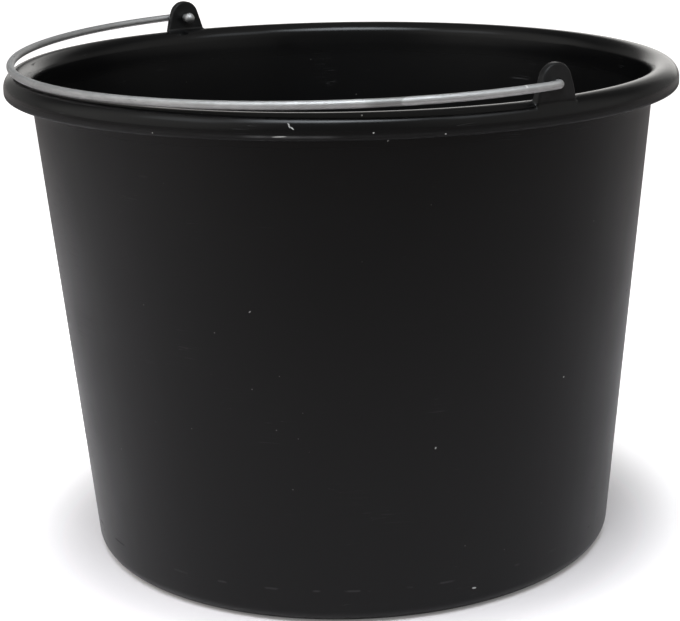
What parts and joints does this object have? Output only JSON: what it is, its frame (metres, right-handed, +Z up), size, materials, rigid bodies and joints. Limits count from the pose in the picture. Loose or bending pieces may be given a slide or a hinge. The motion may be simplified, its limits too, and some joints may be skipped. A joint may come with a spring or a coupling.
{
  "type": "builders bucket",
  "caption": "Tapered black moulded plastic bucket with a folded half-round rim, upright ears and a swinging galvanised wire bail, for carrying mortar, rubble or water.",
  "frame": {"origin": "middle of the foot ring, on the ground", "axes": "+Z up along the bucket's axis; X through the two ears, along the bail's axis; -Y towards the side the bail is folded down to"},
  "size_m": [0.371, 0.365, 0.2854],
  "materials": {
    "black_plastic": "satin black moulded polyolefin, lightly scuffed",
    "galvanised_wire": "drawn steel wire, galvanised, slightly dull"
  },
  "bodies": {
    "bucket": {"bucket_body": "black_plastic"},
    "bail": {"wire_bail": "galvanised_wire"}
  },
  "joints": [
    {"name": "bail_swing", "type": "hinge", "parent": "bucket", "child": "bail", "pos_m": [0, 0, 0.2756], "axis": [-1, 0, 0], "range_deg": [0, 183.36]}
  ]
}
